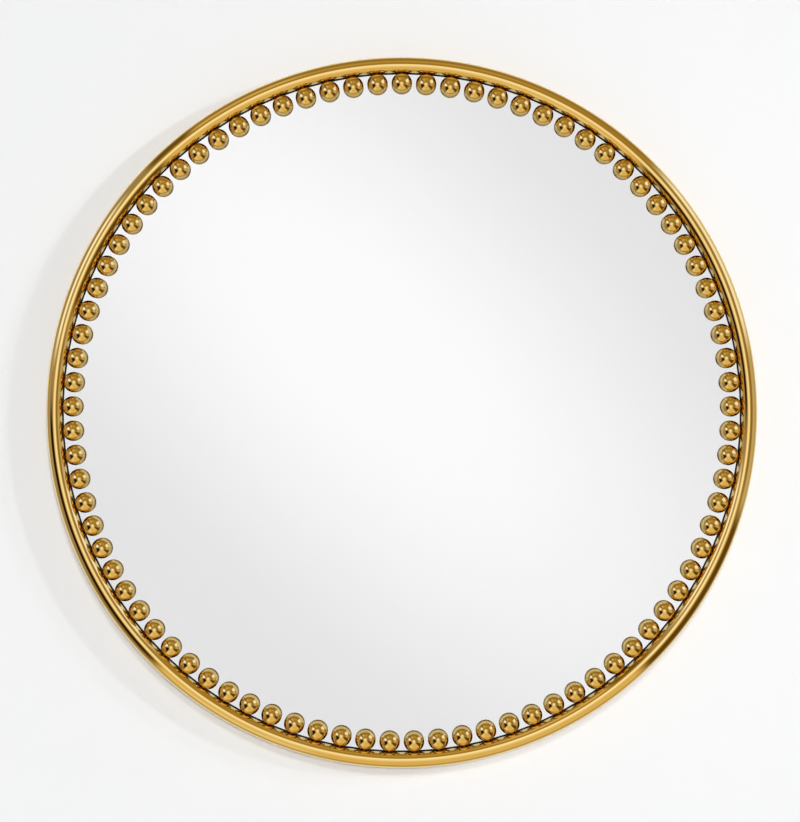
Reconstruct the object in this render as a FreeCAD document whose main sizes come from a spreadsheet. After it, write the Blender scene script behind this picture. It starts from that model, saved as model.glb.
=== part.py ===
import FreeCAD, Part
import math
import os

import Sketcher

# Round wall mirror, 30 inches across.  A rolled brass tube carries a ring of solid brass balls
# on its inner side.  Behind it a flat brass band reaches back to the wall and holds the glass,
# the backing board and the hangers.
#
# Frame: +X to the right, +Z up, the front faces -Y and the wall is at +Y.  The origin is the
# centre of the whole mirror's box.  Millimetres.

doc = FreeCAD.newDocument("BeadedRoundMirror")

# ---------------------------------------------------------------- driving dimensions

SIZES = (
    ("outer_diameter", 762.0, "over the outside of the tube"),
    ("overall_depth", 41.0, "wall to the front of the balls"),
    ("tube_diameter", 16.8, "rolled tube of the rim"),
    ("tube_sides", 12, "flats that stand for the round section of the tube"),
    ("band_thickness", 3.0, "flat bar rolled on edge behind the tube"),
    ("band_setback", 3.0, "band stands in from the outside of the tube"),
    ("wall_gap", 1.0, "rear edge of the band to the wall"),
    ("ball_diameter", 22.0, "brass ball"),
    ("ball_count", 85, "balls in the ring"),
    ("ball_sides", 10, "flats round a ball"),
    ("ball_bands", 4, "rows of flats from pole to pole"),
    ("ball_seat_gap", 0.1, "solder film between ball and tube"),
    ("ball_glass_gap", 0.3, "ball to the face of the glass"),
    ("gasket_thickness", 2.5, "black strip between tube and glass"),
    ("gasket_lip", 0.5, "strip shows this far inside the tube"),
    ("glass_thickness", 5.0, "silvered float glass"),
    ("glass_edge_gap", 2.5, "edge of the glass to the band"),
    ("fit_gap", 0.2, "loose pieces inside the band"),
    ("block_length", 30.0, "rubber setting block under the glass"),
    ("block_spread", 40.0, "angle between the two setting blocks"),
    ("pad_count", 8, "foam pads between glass and board"),
    ("pad_size", 30.0, "side of a square foam pad"),
    ("pad_thickness", 1.0, "foam pad"),
    ("pad_ring_radius", 300.0, "centres of the foam pads"),
    ("board_thickness", 6.0, "fibreboard back"),
    ("board_lug_gap", 1.0, "edge of the board to the lugs"),
    ("lug_count", 6, "lugs and turn buttons"),
    ("lug_width", 16.0, "lug along the band"),
    ("lug_reach", 14.0, "lug stands in from the band"),
    ("lug_thickness", 2.0, "bent strip of the lug"),
    ("lug_leg", 6.0, "leg of the lug on the band"),
    ("stud_inset", 7.5, "stud centre in from the band"),
    ("stud_diameter", 4.0, "shoulder stud on the lug"),
    ("stud_head_diameter", 8.0, "head of the shoulder stud"),
    ("stud_head_thickness", 1.5, "head of the shoulder stud"),
    ("fastener_sides", 10, "flats that stand for the round of a stud or screw"),
    ("button_length", 26.5, "turn button"),
    ("button_width", 9.0, "turn button"),
    ("button_thickness", 1.6, "turn button"),
    ("button_tail", 4.5, "stud centre to the outer end of the button"),
    ("button_corner", 2.5, "cut corner of the button"),
    ("button_clearance", 0.3, "above and below the button"),
    ("pivot_clearance", 0.05, "radial clearance of a turning fit"),
    ("hanger_spacing", 400.0, "between the two hangers"),
    ("hanger_height", 180.0, "hanger pivots above the centre"),
    ("strap_width", 12.0, "hanger strap"),
    ("strap_length", 46.0, "hanger strap below its eye"),
    ("strap_thickness", 1.2, "hanger strap"),
    ("strap_hole_diameter", 3.6, "screw hole of the strap"),
    ("first_screw_drop", 27.0, "upper screw below the pivot"),
    ("screw_spacing", 12.0, "between the two screws of a strap"),
    ("screw_diameter", 3.0, "shank of a hanger screw"),
    ("screw_length", 5.0, "shank inside the board"),
    ("screw_head_diameter", 6.0, "pan head"),
    ("screw_head_height", 1.8, "pan head"),
    ("screw_clearance", 0.05, "pilot hole round the shank"),
    ("wire_diameter", 2.5, "wire of the hanging ring"),
    ("ring_opening", 18.0, "inside width of the hanging ring"),
    ("ring_leg", 4.0, "straight leg of the hanging ring"),
    ("ring_lay_gap", 0.3, "folded ring above the strap"),
    ("wire_sides", 8, "flats round the wire"),
    ("bend_steps", 6, "short straights in the half-round bend of the ring"),
    ("bumper_count", 4, "rubber wall bumpers"),
    ("bumper_diameter", 16.0, "rubber wall bumper"),
    ("bumper_ring_radius", 325.0, "centres of the bumpers"),
    ("bumper_sides", 16, "flats round a bumper"),
    ("bumper_taper", -7.0, "degrees that a bumper narrows to the wall"),
)

sheet = doc.addObject("Spreadsheet::Sheet", "Sizes")
for row, (alias, size, note) in enumerate(SIZES, start=1):
    sheet.set(f"A{row}", alias)
    sheet.set(f"B{row}", str(size))
    sheet.setAlias(f"B{row}", alias)
    sheet.set(f"C{row}", note)
doc.recompute()


def cell(alias):
    """The sheet's cell, as a term for an expression."""
    return f"Sizes.{alias}"


def size(expression):
    """The value that an expression has now."""
    return float(sheet.evalExpression(expression))


# Radii, all measured from the mirror's axis.
RIM_RADIUS = f"({cell('outer_diameter')} / 2)"
TUBE_RADIUS = f"({cell('tube_diameter')} / 2)"
TUBE_RING = f"({RIM_RADIUS} - {TUBE_RADIUS})"
TUBE_INNER = f"({RIM_RADIUS} - {cell('tube_diameter')})"
BAND_OUTER = f"({RIM_RADIUS} - {cell('band_setback')})"
BAND_INNER = f"({BAND_OUTER} - {cell('band_thickness')})"
GLASS_RADIUS = f"({BAND_INNER} - {cell('glass_edge_gap')})"
LUG_INNER = f"({BAND_INNER} - {cell('lug_reach')})"
BOARD_RADIUS = f"({LUG_INNER} - {cell('board_lug_gap')})"
STUD_RING = f"({BAND_INNER} - {cell('stud_inset')})"
BALL_RADIUS = f"({cell('ball_diameter')} / 2)"
BALL_RING = f"({TUBE_INNER} - {cell('ball_seat_gap')} - {BALL_RADIUS})"

# Levels along Y, from the front of the balls back to the wall.
FRONT_Y = f"(-{cell('overall_depth')} / 2)"
WALL_Y = f"({cell('overall_depth')} / 2)"
BALL_Y = f"({FRONT_Y} + {BALL_RADIUS})"
GLASS_Y = f"({FRONT_Y} + {cell('ball_diameter')} + {cell('ball_glass_gap')})"
GASKET_Y = f"({GLASS_Y} - {cell('gasket_thickness')})"
TUBE_Y = f"({GASKET_Y} - {TUBE_RADIUS})"
PAD_Y = f"({GLASS_Y} + {cell('glass_thickness')})"
BOARD_Y = f"({PAD_Y} + {cell('pad_thickness')})"
BACK_Y = f"({BOARD_Y} + {cell('board_thickness')})"
RIM_Y = f"({WALL_Y} - {cell('wall_gap')})"
BUTTON_Y = f"({BACK_Y} + {cell('button_clearance')})"
HEAD_Y = f"({BUTTON_Y} + {cell('button_thickness')} + {cell('button_clearance')})"

# ---------------------------------------------------------------- helpers


def new_body(label):
    body = doc.addObject("PartDesign::Body", label)
    body.Label = label
    return body


def origin_feature(body, role):
    return [item for item in body.Origin.OriginFeatures if item.Role == role][0]


def new_sketch(body, name, role, offset=None):
    """A sketch on one of the body's origin planes, moved along its normal by an expression."""
    sketch = body.newObject("Sketcher::SketchObject", name)
    sketch.AttachmentSupport = [(origin_feature(body, role), "")]
    sketch.MapMode = "FlatFace"
    if offset:
        sketch.AttachmentOffset = FreeCAD.Placement(FreeCAD.Vector(0, 0, size(offset)), FreeCAD.Rotation())
        sketch.setExpression("AttachmentOffset.Base.z", offset)
    return sketch


def bind(sketch, constraint, expression):
    number = sketch.addConstraint(constraint)
    sketch.setExpression(f"Constraints[{number}]", expression)


def add_outline(sketch, corners):
    """Closed outline of straight edges; every corner is a pair of expressions."""
    points = [FreeCAD.Vector(size(across), size(up), 0) for across, up in corners]
    first = sketch.GeometryCount
    for start, end in zip(points, points[1:] + points[:1]):
        sketch.addGeometry(Part.LineSegment(start, end), False)
    for index in range(len(points)):
        after = (index + 1) % len(points)
        sketch.addConstraint(Sketcher.Constraint("Coincident", first + index, 2, first + after, 1))
    for index, (across, up) in enumerate(corners):
        line = first + index
        bind(sketch, Sketcher.Constraint("DistanceX", -1, 1, line, 1, size(across)), across)
        bind(sketch, Sketcher.Constraint("DistanceY", -1, 1, line, 1, size(up)), up)


def add_circle(sketch, up, radius):
    """Circle on the vertical axis of the sketch."""
    centre = FreeCAD.Vector(0, size(up), 0)
    circle = sketch.addGeometry(Part.Circle(centre, FreeCAD.Vector(0, 0, 1), size(radius)), False)
    sketch.addConstraint(Sketcher.Constraint("PointOnObject", circle, 3, -2))
    bind(sketch, Sketcher.Constraint("DistanceY", -1, 1, circle, 3, size(up)), up)
    bind(sketch, Sketcher.Constraint("Radius", circle, size(radius)), radius)


def add_polygon(sketch, across, up, radius, sides):
    """Regular outline about a point of the sketch, with its corners on the given radius."""
    corners = []
    for step in range(sides):
        turn = 2 * math.pi * (step + 0.5) / sides
        corner_across = f"{across} + {math.cos(turn):.6f} * {radius}"
        corner_up = f"{up} + {math.sin(turn):.6f} * {radius}"
        corners.append((corner_across, corner_up))
    add_outline(sketch, corners)


def revolve_ring(label, corners):
    """Full ring about the mirror's axis, from an outline in radius and depth."""
    body = new_body(label)
    sketch = new_sketch(body, f"{label}_section", "XY_Plane")
    add_outline(sketch, corners)
    ring = body.newObject("PartDesign::Revolution", f"{label}_revolve")
    ring.Profile = sketch
    ring.ReferenceAxis = (sketch, ["V_Axis"])
    ring.Angle = 360
    sketch.Visibility = False
    return body


def pad_back(body, sketch, thickness):
    """Thicken a sketch that faces the front, towards the wall."""
    pad = body.newObject("PartDesign::Pad", f"{sketch.Name}_pad")
    pad.Profile = sketch
    pad.Length = size(thickness)
    pad.setExpression("Length", thickness)
    pad.Reversed = True
    return pad


def spread_round(body, features, count, angle=None):
    """Repeat features about the mirror's axis."""
    pattern = body.newObject("PartDesign::PolarPattern", f"{body.Name}_pattern")
    pattern.Originals = features
    pattern.Axis = (origin_feature(body, "Y_Axis"), [""])
    pattern.Angle = size(angle) if angle else 360
    if angle:
        pattern.setExpression("Angle", angle)
    pattern.Occurrences = int(size(count))
    pattern.setExpression("Occurrences", count)
    body.Tip = pattern
    return pattern


def front_disc(label, radius, front, thickness):
    """Round plate square to the mirror's axis."""
    disc = doc.addObject("Part::Cylinder", label)
    disc.Label = label
    disc.Placement = FreeCAD.Placement(FreeCAD.Vector(0, size(front), 0), TO_WALL)
    disc.setExpression("Radius", radius)
    disc.setExpression("Height", thickness)
    disc.setExpression("Placement.Base.y", front)
    return disc


def peg(label, radius, length, x, y, z):
    """Many-sided peg that points to the wall from the point x, y, z."""
    rod = doc.addObject("Part::Prism", label)
    rod.Polygon = FASTENER_SIDES
    rod.Placement = FreeCAD.Placement(axis_point, TO_WALL)
    rod.setExpression("Circumradius", radius)
    rod.setExpression("Height", length)
    rod.setExpression("Placement.Base.x", x)
    rod.setExpression("Placement.Base.y", y)
    rod.setExpression("Placement.Base.z", z)
    return rod


axis_point = FreeCAD.Vector(0, 0, 0)
axis_line = FreeCAD.Vector(0, 1, 0)
TO_WALL = FreeCAD.Rotation(FreeCAD.Vector(1, 0, 0), -90)
FASTENER_SIDES = int(size(cell("fastener_sides")))

nodes = []

# ---------------------------------------------------------------- rim tube

sides = int(size(cell("tube_sides")))
half_flat = math.pi / sides
tube_corners = []
for step in range(sides):
    angle = (2 * step + 1) * half_flat
    across = math.cos(angle) / math.cos(half_flat)
    back = math.sin(angle) / math.cos(half_flat)
    corner_radius = f"{TUBE_RING} + {across:.6f} * {TUBE_RADIUS}"
    corner_y = f"{TUBE_Y} + {back:.6f} * {TUBE_RADIUS}"
    tube_corners.append((corner_radius, corner_y))
nodes.append(revolve_ring("rim_tube", tube_corners))

# ---------------------------------------------------------------- rear band

# The front edge of the band is cut on the slope of the tube's next flat, so it closes on it.
flat_reach = math.tan(half_flat)
flat_slope = math.tan(2 * half_flat)


def tube_back(radius):
    """Level of the tube's sloping rear flat at a radius."""
    return f"{GASKET_Y} - ({radius} - {TUBE_RING} - {flat_reach:.6f} * {TUBE_RADIUS}) * {flat_slope:.6f}"


nodes.append(revolve_ring("rear_band", [
    (BAND_INNER, tube_back(BAND_INNER)),
    (BAND_OUTER, tube_back(BAND_OUTER)),
    (BAND_OUTER, RIM_Y),
    (BAND_INNER, RIM_Y),
]))

# ---------------------------------------------------------------- glazing gasket

gasket_inner = f"{TUBE_INNER} - {cell('gasket_lip')}"
gasket_outer = f"{BAND_INNER} - {cell('fit_gap')}"
nodes.append(revolve_ring("glazing_gasket", [
    (gasket_inner, GASKET_Y),
    (gasket_outer, GASKET_Y),
    (gasket_outer, GLASS_Y),
    (gasket_inner, GLASS_Y),
]))

# ---------------------------------------------------------------- brass balls


def faceted_ball(radius, around, bands):
    """Ball of flat faces whose corners lie on the sphere, with a corner on its +X side."""
    rings = []
    for band in range(bands + 1):
        polar = math.pi * band / bands
        ring = []
        for step in range(around):
            turn = 2 * math.pi * step / around
            out = radius * math.sin(polar)
            ring.append(FreeCAD.Vector(out * math.cos(turn), -radius * math.cos(polar), out * math.sin(turn)))
        rings.append(ring)
    faces = []
    for band in range(bands):
        for step in range(around):
            after = (step + 1) % around
            corners = [rings[band][step], rings[band][after], rings[band + 1][after], rings[band + 1][step]]
            if band == 0:
                corners = corners[1:]
            if band == bands - 1:
                corners = corners[:3]
            faces.append(Part.Face(Part.makePolygon(corners + corners[:1])))
    return Part.Solid(Part.Shell(faces))


ball = faceted_ball(size(BALL_RADIUS), int(size(cell("ball_sides"))), int(size(cell("ball_bands"))))
ball.translate(FreeCAD.Vector(size(BALL_RING), size(BALL_Y), 0))
ball_count = int(size(cell("ball_count")))
ring_of_balls = []
for number in range(ball_count):
    # The first ball stands at twelve o'clock.
    ring_of_balls.append(ball.rotated(axis_point, axis_line, -90 + 360 * number / ball_count))
balls = doc.addObject("Part::Feature", "brass_balls")
balls.Label = "brass_balls"
balls.Shape = Part.makeCompound(ring_of_balls)
nodes.append(balls)

# ---------------------------------------------------------------- mirror glass

nodes.append(front_disc("mirror_glass", GLASS_RADIUS, GLASS_Y, cell("glass_thickness")))

# ---------------------------------------------------------------- setting blocks

blocks = new_body("setting_blocks")
block_sketch = new_sketch(blocks, "block_outline", "XZ_Plane", f"-{GLASS_Y}")
half_block = f"{cell('block_length')} / 2"
# A straight block between two round edges: its ends stay clear of the band.
block_low = f"-sqrt({BAND_INNER} ^ 2 - ({half_block}) ^ 2)"
block_high = f"-({GLASS_RADIUS} + {cell('fit_gap')})"
add_outline(block_sketch, [
    (f"-{half_block}", block_low),
    (half_block, block_low),
    (half_block, block_high),
    (f"-{half_block}", block_high),
])
block_pad = pad_back(blocks, block_sketch, cell("glass_thickness"))
spread_round(blocks, [block_pad], "2", cell("block_spread"))
nodes.append(blocks)

# ---------------------------------------------------------------- foam pads

pads = new_body("foam_pads")
pad_sketch = new_sketch(pads, "pad_outline", "XZ_Plane", f"-{PAD_Y}")
half_pad = f"{cell('pad_size')} / 2"
pad_low = f"{cell('pad_ring_radius')} - {half_pad}"
pad_high = f"{cell('pad_ring_radius')} + {half_pad}"
add_outline(pad_sketch, [
    (f"-{half_pad}", pad_low),
    (half_pad, pad_low),
    (half_pad, pad_high),
    (f"-{half_pad}", pad_high),
])
foam = pad_back(pads, pad_sketch, cell("pad_thickness"))
spread_round(pads, [foam], cell("pad_count"))
nodes.append(pads)

# ---------------------------------------------------------------- lugs on the band

lugs = new_body("board_lugs")
lug_sketch = new_sketch(lugs, "lug_section", "YZ_Plane")
half_lug = f"{cell('lug_width')} / 2"
# A flat leg inside a round band touches it at its two side edges.
lug_outer = f"sqrt({BAND_INNER} ^ 2 - ({half_lug}) ^ 2)"
lug_front = f"{BACK_Y} - {cell('lug_thickness')}"
add_outline(lug_sketch, [
    (BACK_Y, LUG_INNER),
    (BACK_Y, lug_outer),
    (f"{BACK_Y} - {cell('lug_leg')}", lug_outer),
    (f"{BACK_Y} - {cell('lug_leg')}", f"{lug_outer} - {cell('lug_thickness')}"),
    (lug_front, f"{lug_outer} - {cell('lug_thickness')}"),
    (lug_front, LUG_INNER),
])
lug_pad = lugs.newObject("PartDesign::Pad", "lug_pad")
lug_pad.Profile = lug_sketch
lug_pad.Length = size(cell("lug_width"))
lug_pad.setExpression("Length", cell("lug_width"))
lug_pad.Midplane = True
spread_round(lugs, [lug_pad], cell("lug_count"))
nodes.append(lugs)

# ---------------------------------------------------------------- shoulder studs

studs = new_body("button_studs")
shank_sketch = new_sketch(studs, "stud_shank", "XZ_Plane", f"-{BACK_Y}")
add_polygon(shank_sketch, "0", STUD_RING, f"{cell('stud_diameter')} / 2", FASTENER_SIDES)
shank = pad_back(studs, shank_sketch, f"{HEAD_Y} - {BACK_Y}")
head_sketch = new_sketch(studs, "stud_head", "XZ_Plane", f"-{HEAD_Y}")
add_polygon(head_sketch, "0", STUD_RING, f"{cell('stud_head_diameter')} / 2", FASTENER_SIDES)
head = pad_back(studs, head_sketch, cell("stud_head_thickness"))
spread_round(studs, [shank, head], cell("lug_count"))
nodes.append(studs)

# ---------------------------------------------------------------- turn buttons

half_button = f"{cell('button_width')} / 2"
corner = cell("button_corner")
button_outer = f"{STUD_RING} + {cell('button_tail')}"
button_inner = f"{button_outer} - {cell('button_length')}"
lug_count = int(size(cell("lug_count")))
for number in range(lug_count):
    button = new_body(f"turn_button_{number + 1}")
    sketch = new_sketch(button, f"button_outline_{number + 1}", "XZ_Plane", f"-{BUTTON_Y}")
    add_outline(sketch, [
        (f"{corner} - {half_button}", button_inner),
        (f"{half_button} - {corner}", button_inner),
        (half_button, f"{button_inner} + {corner}"),
        (half_button, f"{button_outer} - {corner}"),
        (f"{half_button} - {corner}", button_outer),
        (f"{corner} - {half_button}", button_outer),
        (f"-{half_button}", f"{button_outer} - {corner}"),
        (f"-{half_button}", f"{button_inner} + {corner}"),
    ])
    add_circle(sketch, STUD_RING, f"{cell('stud_diameter')} / 2 + {cell('pivot_clearance')}")
    pad_back(button, sketch, cell("button_thickness"))
    turn = FreeCAD.Rotation(axis_line, 360 * number / lug_count)
    button.Placement = FreeCAD.Placement(axis_point, turn)
    nodes.append(button)

# ---------------------------------------------------------------- hangers: shared places

HANGER_X = f"({cell('hanger_spacing')} / 2)"
HANGER_Z = cell("hanger_height")
WIRE_RADIUS = f"({cell('wire_diameter')} / 2)"
PIVOT_Y = f"({BACK_Y} + {cell('strap_thickness')} + {cell('ring_lay_gap')} + {WIRE_RADIUS})"
EYE_INNER = f"({WIRE_RADIUS} + {cell('pivot_clearance')})"
EYE_OUTER = f"({EYE_INNER} + {cell('strap_thickness')})"
SCREW_ROWS = (
    f"({HANGER_Z} - {cell('first_screw_drop')})",
    f"({HANGER_Z} - {cell('first_screw_drop')} - {cell('screw_spacing')})",
)
SIDES = (("left", "-"), ("right", ""))

# ---------------------------------------------------------------- hanger straps

strap_solids = []
for side, sign in SIDES:
    low_x = f"{sign}{HANGER_X} - {cell('strap_width')} / 2"
    plate = doc.addObject("Part::Box", f"strap_plate_{side}")
    plate.setExpression("Length", cell("strap_width"))
    plate.setExpression("Width", cell("strap_thickness"))
    plate.setExpression("Height", cell("strap_length"))
    plate.setExpression("Placement.Base.x", low_x)
    plate.setExpression("Placement.Base.y", BACK_Y)
    plate.setExpression("Placement.Base.z", f"{HANGER_Z} - {cell('strap_length')}")
    eye = doc.addObject("Part::Prism", f"strap_eye_{side}")
    eye.Polygon = FASTENER_SIDES
    eye.setExpression("Circumradius", EYE_OUTER)
    bore = doc.addObject("Part::Cylinder", f"strap_bore_{side}")
    bore.setExpression("Radius", EYE_INNER)
    for rod in (eye, bore):
        rod.Placement = FreeCAD.Placement(axis_point, FreeCAD.Rotation(axis_line, 90))
        rod.setExpression("Height", cell("strap_width"))
        rod.setExpression("Placement.Base.x", low_x)
        rod.setExpression("Placement.Base.y", PIVOT_Y)
        rod.setExpression("Placement.Base.z", HANGER_Z)
    blank = doc.addObject("Part::Fuse", f"strap_blank_{side}")
    blank.Base = plate
    blank.Tool = eye
    holes = [bore]
    for row, height in enumerate(SCREW_ROWS):
        hole_radius = f"{cell('strap_hole_diameter')} / 2"
        holes.append(peg(f"strap_hole_{side}_{row}", hole_radius, cell("strap_thickness"),
                         f"{sign}{HANGER_X}", BACK_Y, height))
    tools = doc.addObject("Part::Compound", f"strap_holes_{side}")
    tools.Links = holes
    strap = doc.addObject("Part::Cut", f"strap_{side}")
    strap.Base = blank
    strap.Tool = tools
    strap_solids.append(strap)
straps = doc.addObject("Part::Compound", "hanger_straps")
straps.Label = "hanger_straps"
straps.Links = strap_solids
nodes.append(straps)

# ---------------------------------------------------------------- hanger screws

screw_solids = []
pilot_holes = []
for side, sign in SIDES:
    for row, height in enumerate(SCREW_ROWS):
        place = (f"{sign}{HANGER_X}", height)
        into_board = f"{BACK_Y} - {cell('screw_length')}"
        shank_length = f"{cell('screw_length')} + {cell('strap_thickness')}"
        shank_radius = f"{cell('screw_diameter')} / 2"
        stem = peg(f"screw_stem_{side}_{row}", shank_radius, shank_length, place[0], into_board, place[1])
        cap = peg(f"screw_cap_{side}_{row}", f"{cell('screw_head_diameter')} / 2", cell("screw_head_height"),
                  place[0], f"{BACK_Y} + {cell('strap_thickness')}", place[1])
        screw = doc.addObject("Part::Fuse", f"screw_{side}_{row}")
        screw.Base = stem
        screw.Tool = cap
        screw_solids.append(screw)
        pilot_holes.append(peg(f"pilot_{side}_{row}", f"{shank_radius} + {cell('screw_clearance')}",
                               cell("screw_length"), place[0], into_board, place[1]))
screws = doc.addObject("Part::Compound", "hanger_screws")
screws.Label = "hanger_screws"
screws.Links = screw_solids
nodes.append(screws)

# ---------------------------------------------------------------- backing board

board_blank = front_disc("board_blank", BOARD_RADIUS, BOARD_Y, cell("board_thickness"))
pilots = doc.addObject("Part::Compound", "pilot_holes")
pilots.Links = pilot_holes
board = doc.addObject("Part::Cut", "backing_board")
board.Label = "backing_board"
board.Base = board_blank
board.Tool = pilots
nodes.append(board)

# ---------------------------------------------------------------- hanging rings

wire_sides = int(size(cell("wire_sides")))
bend_steps = int(size(cell("bend_steps")))


def wire_ring(opening, leg, wire):
    """Closed D of bent wire about its straight bar, which lies on X through the origin."""
    half = (opening + wire) / 2
    path = [FreeCAD.Vector(0, 0, 0), FreeCAD.Vector(half, 0, 0)]
    for step in range(bend_steps + 1):
        turn = math.pi * step / bend_steps
        path.append(FreeCAD.Vector(half * math.cos(turn), 0, -leg - half * math.sin(turn)))
    path.append(FreeCAD.Vector(-half, 0, 0))
    section = []
    for step in range(wire_sides):
        turn = 2 * math.pi * (step + 0.5) / wire_sides
        section.append(FreeCAD.Vector(0, wire / 2 * math.cos(turn), wire / 2 * math.sin(turn)))
    spine = Part.makePolygon(path + path[:1])
    outline = Part.makePolygon(section + section[:1])
    return spine.makePipeShell([outline], True, False, 1)


for side, sign in SIDES:
    ring = doc.addObject("Part::Feature", f"hanger_ring_{side}")
    ring.Label = f"hanger_ring_{side}"
    ring.Shape = wire_ring(size(cell("ring_opening")), size(cell("ring_leg")), size(cell("wire_diameter")))
    ring.Placement.Base = FreeCAD.Vector(size(f"{sign}{HANGER_X}"), size(PIVOT_Y), size(HANGER_Z))
    nodes.append(ring)

# ---------------------------------------------------------------- wall bumpers

bumpers = new_body("wall_bumpers")
bumper_sketch = new_sketch(bumpers, "bumper_outline", "XZ_Plane", f"-{BACK_Y}")
bumper_place = f"{cell('bumper_ring_radius')} * sqrt(0.5)"
bumper_sides = int(size(cell("bumper_sides")))
add_polygon(bumper_sketch, bumper_place, bumper_place, f"{cell('bumper_diameter')} / 2", bumper_sides)
bumper_pad = pad_back(bumpers, bumper_sketch, f"{WALL_Y} - {BACK_Y}")
bumper_pad.TaperAngle = size(cell("bumper_taper"))
bumper_pad.setExpression("TaperAngle", cell("bumper_taper"))
spread_round(bumpers, [bumper_pad], cell("bumper_count"))
nodes.append(bumpers)

# ---------------------------------------------------------------- check and write

doc.recompute()
# The pattern lays its second block to one side, so the pair is turned back to stand under the glass.
blocks.Placement = FreeCAD.Placement(axis_point, FreeCAD.Rotation(axis_line, -size(cell("block_spread")) / 2))
doc.recompute()

for item in doc.Objects:
    if "Invalid" in item.State or "Error" in item.State:
        raise RuntimeError(f"{item.Label}: {item.State}")
os.makedirs("parts", exist_ok=True)
for node in nodes:
    if node.Shape.isNull() or not node.Shape.isValid():
        raise RuntimeError(f"{node.Label}: bad shape")
    node.Shape.exportStep(f"parts/{node.Label}.step")
    box = node.Shape.BoundBox
    print(f"{node.Label}: {len(node.Shape.Solids)} solids, {node.Shape.Volume:.0f} mm3, "
          f"x {box.XMin:.2f}..{box.XMax:.2f} y {box.YMin:.2f}..{box.YMax:.2f} z {box.ZMin:.2f}..{box.ZMax:.2f}")
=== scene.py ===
import math

import bmesh
import bpy
from mathutils import Matrix, Vector


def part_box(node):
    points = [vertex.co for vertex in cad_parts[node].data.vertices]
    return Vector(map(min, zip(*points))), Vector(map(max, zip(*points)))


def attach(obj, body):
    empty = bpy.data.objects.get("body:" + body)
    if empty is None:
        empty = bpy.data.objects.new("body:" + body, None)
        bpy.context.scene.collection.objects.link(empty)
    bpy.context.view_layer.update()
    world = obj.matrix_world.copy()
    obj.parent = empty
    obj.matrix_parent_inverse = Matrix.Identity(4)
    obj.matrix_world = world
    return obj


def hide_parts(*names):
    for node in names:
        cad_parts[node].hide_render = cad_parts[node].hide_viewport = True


# Round wall mirror with a ring of brass balls.  +X right, +Z up, the front faces -Y, metres.
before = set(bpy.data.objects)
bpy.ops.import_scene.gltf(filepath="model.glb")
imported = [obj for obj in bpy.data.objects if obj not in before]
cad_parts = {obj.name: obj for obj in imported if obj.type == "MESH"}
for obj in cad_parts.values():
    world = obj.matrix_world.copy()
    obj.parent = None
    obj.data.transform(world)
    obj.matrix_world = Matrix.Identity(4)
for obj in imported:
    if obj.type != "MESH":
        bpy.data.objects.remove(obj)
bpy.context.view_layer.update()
MM = 0.001


# ------------------------------------------------------------------ rim tube
# The rim is one brass tube rolled into a ring and polished by hand along its length.  It is the
# outermost piece, so its section and ring radius are read from the frame.

def deselect():
    bpy.ops.object.select_all(action="DESELECT")


def focus(piece):
    """Selects this piece alone and makes it the active one."""
    deselect()
    piece.select_set(True)
    bpy.context.view_layer.objects.active = piece
    return piece


def rest_at_origin(piece):
    """Puts the piece's place into its mesh."""
    focus(piece)
    bpy.ops.object.transform_apply(location=True, rotation=True, scale=True)
    return piece


def named(name):
    """The active object, renamed, with its place in its mesh."""
    piece = bpy.context.object
    piece.name = piece.data.name = name
    return rest_at_origin(piece)


def edit(piece, mode="VERT"):
    focus(piece)
    bpy.ops.object.mode_set(mode="EDIT")
    bpy.ops.mesh.select_mode(type=mode)


def end_edit():
    bpy.ops.object.mode_set(mode="OBJECT")


def smooth(sharp_deg):
    """Shades the selected piece smooth, but for the edges sharper than this."""
    bpy.ops.object.shade_smooth_by_angle(angle=math.radians(sharp_deg))


def spin_round(piece, steps):
    """Spins the section, drawn at z = 0, once round the mirror's axis into a closed ring."""
    edit(piece)
    bpy.ops.mesh.select_all(action="SELECT")
    bpy.ops.mesh.delete(type="ONLY_FACE")
    bpy.ops.mesh.select_all(action="SELECT")
    bpy.ops.mesh.spin(steps=steps, angle=2 * math.pi, center=(0, 0, 0), axis=(0, 1, 0))
    bpy.ops.mesh.select_all(action="SELECT")
    bpy.ops.mesh.remove_doubles(threshold=0.01 * MM)
    bpy.ops.mesh.normals_make_consistent(inside=False)
    end_edit()
    smooth(35)
    return piece


def add_node(tree, kind, values=(), **settings):
    """One shader node: settings are its properties, values fill its inputs or link into them."""
    node = tree.nodes.new(kind)
    for name, value in settings.items():
        setattr(node, name, value)
    for socket, value in dict(values).items():
        if isinstance(value, bpy.types.NodeSocket):
            tree.links.new(value, node.inputs[socket])
        else:
            node.inputs[socket].default_value = value
    return node


def maths(tree, operation, *terms):
    return add_node(tree, "ShaderNodeMath", dict(enumerate(terms)), operation=operation).outputs[0]


def vector_maths(tree, operation, *terms):
    """Its outputs: 0 is the vector, "Value" the number."""
    return add_node(tree, "ShaderNodeVectorMath", dict(enumerate(terms)),
                    operation=operation).outputs


def vector(tree, x, y, z=0.0):
    return add_node(tree, "ShaderNodeCombineXYZ", {0: x, 1: y, 2: z}).outputs[0]


def blend_colours(tree, share, first, second):
    return add_node(tree, "ShaderNodeMix", {0: share, 6: first, 7: second},
                    data_type="RGBA", blend_type="MIX").outputs[2]


def ramp_between(tree, value, low, high, to_low=0.0, to_high=1.0):
    """A smooth step of value from low to high."""
    return add_node(tree, "ShaderNodeMapRange", {0: value, 1: low, 2: high, 3: to_low, 4: to_high},
                    interpolation_type="SMOOTHSTEP").outputs[0]


def noise(tree, place, scale, detail, roughness=0.5):
    return add_node(tree, "ShaderNodeTexNoise", {"Vector": place, "Scale": scale, "Detail": detail,
                                                 "Roughness": roughness}).outputs["Fac"]


def object_place(tree):
    return add_node(tree, "ShaderNodeTexCoord").outputs["Object"]


def parts_of(tree, place):
    return add_node(tree, "ShaderNodeSeparateXYZ", {0: place}).outputs


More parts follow.
